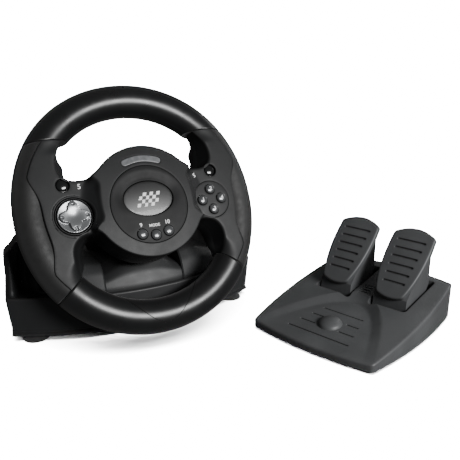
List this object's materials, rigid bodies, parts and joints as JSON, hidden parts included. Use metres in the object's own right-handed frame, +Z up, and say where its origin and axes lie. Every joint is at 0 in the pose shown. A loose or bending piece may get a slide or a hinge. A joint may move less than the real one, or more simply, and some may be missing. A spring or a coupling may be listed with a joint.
{
  "type": "racing wheel controller",
  "caption": "Desktop racing wheel with hub buttons, direction pad and shift paddles on a suction-cup base, with a separate brake and accelerator unit.",
  "frame": {"origin": "on the table, under the middle of the footprint of wheel unit and pedal unit together", "axes": "+Z up, +X to the driver's right, the wheel's face looks towards -Y and leans back from upright"},
  "size_m": [0.4392, 0.3642, 0.2472],
  "materials": {
    "shell_plastic": "black moulded plastic, fine satin texture",
    "base_plastic": "black moulded plastic, semi-gloss",
    "pedal_plastic": "black moulded plastic, satin",
    "grip_soft": "black soft-touch moulding, satin",
    "side_grip_rubber": "black fine-ribbed rubber",
    "gloss_black": "black gloss",
    "badge_gloss": "black gloss with a pale printed emblem",
    "lens_grey": "smoked grey lens",
    "foot_rubber": "black rubber",
    "steel": "bright steel",
    "board_green": "green solder-masked circuit board",
    "nylon": "natural nylon"
  },
  "bodies": {
    "base": {"column_collar": "shell_plastic", "front_bush": "nylon", "bearing_carrier": "base_plastic", "centring_spring": "steel", "steering_sensor": "steel", "base_upper_shell": "base_plastic", "base_lower_cover": "base_plastic", "base_circuit_board": "board_green", "usb_cable_gland": "foot_rubber", "pedal_socket": "base_plastic", "suction_cup_front_left": "foot_rubber", "suction_cup_front_right": "foot_rubber", "suction_cup_rear_left": "foot_rubber", "suction_cup_rear_right": "foot_rubber"},
    "wheel": {"wheel_front_shell": "shell_plastic", "wheel_rear_shell": "shell_plastic", "top_grip": "grip_soft", "bottom_grip": "grip_soft", "left_side_grip": "side_grip_rubber", "right_side_grip": "side_grip_rubber", "hub_disc": "gloss_black", "hub_badge": "badge_gloss", "light_lens": "lens_grey", "dpad_dish": "shell_plastic", "button_plate": "shell_plastic", "wheel_circuit_board": "board_green", "steering_shaft": "steel", "shaft_screw": "steel", "steering_gear": "nylon"},
    "sensor_pinion": {"sensor_pinion": "nylon"},
    "dpad_pivot": {"dpad_pivot": "nylon"},
    "dpad": {"dpad_cap": "gloss_black"},
    "face_button_1": {"face_button_1": "gloss_black"},
    "face_button_2": {"face_button_2": "gloss_black"},
    "face_button_3": {"face_button_3": "gloss_black"},
    "face_button_4": {"face_button_4": "gloss_black"},
    "corner_button_left": {"corner_button_left": "gloss_black"},
    "corner_button_right": {"corner_button_right": "gloss_black"},
    "hub_button_left": {"hub_button_left": "gloss_black"},
    "hub_button_mode": {"hub_button_mode": "gloss_black"},
    "hub_button_right": {"hub_button_right": "gloss_black"},
    "left_paddle": {"left_paddle": "shell_plastic"},
    "right_paddle": {"right_paddle": "shell_plastic"},
    "pedal_unit": {"pedal_cover": "pedal_plastic", "pedal_plate": "pedal_plastic", "pedal_vent_plate": "pedal_plastic", "brake_pivot_pin": "steel", "brake_spring": "steel", "accelerator_pivot_pin": "steel", "accelerator_spring": "steel", "pedal_foot_heel_left": "foot_rubber", "pedal_foot_heel_right": "foot_rubber", "pedal_foot_toe_left": "foot_rubber", "pedal_foot_toe_right": "foot_rubber"},
    "brake_pedal": {"brake_pad": "pedal_plastic", "brake_arm": "pedal_plastic"},
    "accelerator_pedal": {"accelerator_pad": "pedal_plastic", "accelerator_arm": "pedal_plastic"}
  },
  "joints": [
    {"name": "steering", "type": "hinge", "parent": "base", "child": "wheel", "pos_m": [-0.08164, 0.00005, 0.14], "axis": [0, -0.8829, 0.4695], "range_deg": [-90, 90], "stiffness_Nm_per_rad": 1},
    {"name": "sensor_spin", "type": "hinge", "parent": "base", "child": "sensor_pinion", "pos_m": [-0.08164, 0.10974, 0.10773], "axis": [0, -0.8829, 0.4695], "range_deg": [-141, 141]},
    {"name": "dpad_left_right", "type": "hinge", "parent": "wheel", "child": "dpad_pivot", "pos_m": [-0.15314, 0.00443, 0.13076], "axis": [0, 0.4695, 0.8829], "range_deg": [-5, 5], "stiffness_Nm_per_rad": 0.05},
    {"name": "dpad_up_down", "type": "hinge", "parent": "dpad_pivot", "child": "dpad", "pos_m": [-0.15314, 0.00443, 0.13076], "axis": [1, 0, 0], "range_deg": [-5, 5], "stiffness_Nm_per_rad": 0.05},
    {"name": "face_button_1_press", "type": "slide", "parent": "wheel", "child": "face_button_1", "axis": [0, 0.8829, -0.4695], "range_m": [0, 0.0015], "stiffness_N_per_m": 300, "springref_m": -0.0005},
    {"name": "face_button_2_press", "type": "slide", "parent": "wheel", "child": "face_button_2", "axis": [0, 0.8829, -0.4695], "range_m": [0, 0.0015], "stiffness_N_per_m": 300, "springref_m": -0.0005},
    {"name": "face_button_3_press", "type": "slide", "parent": "wheel", "child": "face_button_3", "axis": [0, 0.8829, -0.4695], "range_m": [0, 0.0015], "stiffness_N_per_m": 300, "springref_m": -0.0005},
    {"name": "face_button_4_press", "type": "slide", "parent": "wheel", "child": "face_button_4", "axis": [0, 0.8829, -0.4695], "range_m": [0, 0.0015], "stiffness_N_per_m": 300, "springref_m": -0.0005},
    {"name": "corner_button_left_press", "type": "slide", "parent": "wheel", "child": "corner_button_left", "axis": [0, 0.8829, -0.4695], "range_m": [0, 0.0015], "stiffness_N_per_m": 300, "springref_m": -0.0005},
    {"name": "corner_button_right_press", "type": "slide", "parent": "wheel", "child": "corner_button_right", "axis": [0, 0.8829, -0.4695], "range_m": [0, 0.0015], "stiffness_N_per_m": 300, "springref_m": -0.0005},
    {"name": "hub_button_left_press", "type": "slide", "parent": "wheel", "child": "hub_button_left", "axis": [0, 0.8829, -0.4695], "range_m": [0, 0.0015], "stiffness_N_per_m": 300, "springref_m": -0.0005},
    {"name": "hub_button_mode_press", "type": "slide", "parent": "wheel", "child": "hub_button_mode", "axis": [0, 0.8829, -0.4695], "range_m": [0, 0.0015], "stiffness_N_per_m": 300, "springref_m": -0.0005},
    {"name": "hub_button_right_press", "type": "slide", "parent": "wheel", "child": "hub_button_right", "axis": [0, 0.8829, -0.4695], "range_m": [0, 0.0015], "stiffness_N_per_m": 300, "springref_m": -0.0005},
    {"name": "left_paddle_pull", "type": "hinge", "parent": "wheel", "child": "left_paddle", "pos_m": [-0.12164, 0.03758, 0.12005], "axis": [0, 0.4695, 0.8829], "range_deg": [0, 5.5], "stiffness_Nm_per_rad": 0.3, "springref_deg": -2.86},
    {"name": "right_paddle_pull", "type": "hinge", "parent": "wheel", "child": "right_paddle", "pos_m": [-0.04164, 0.03758, 0.12005], "axis": [0, -0.4695, -0.8829], "range_deg": [0, 5.5], "stiffness_Nm_per_rad": 0.3, "springref_deg": -2.86},
    {"name": "pedal_unit_placing", "type": "slide", "parent": "base", "child": "pedal_unit", "axis": [1, 0, 0], "range_m": [0, 0.15]},
    {"name": "brake_press", "type": "hinge", "parent": "pedal_unit", "child": "brake_pedal", "pos_m": [0.12487, -0.0491, 0.018], "axis": [-0.342, 0.9397, 0], "range_deg": [0, 16], "stiffness_Nm_per_rad": 3, "springref_deg": -8.59, "deforming": ["brake_spring"]},
    {"name": "accelerator_press", "type": "hinge", "parent": "pedal_unit", "child": "accelerator_pedal", "pos_m": [0.14744, -0.11112, 0.018], "axis": [-0.342, 0.9397, 0], "range_deg": [0, 16], "stiffness_Nm_per_rad": 3, "springref_deg": -8.59, "deforming": ["accelerator_spring"]}
  ],
  "couplings": [
    {"joint": "sensor_spin", "follows": "steering", "ratio": -1.5556}
  ]
}
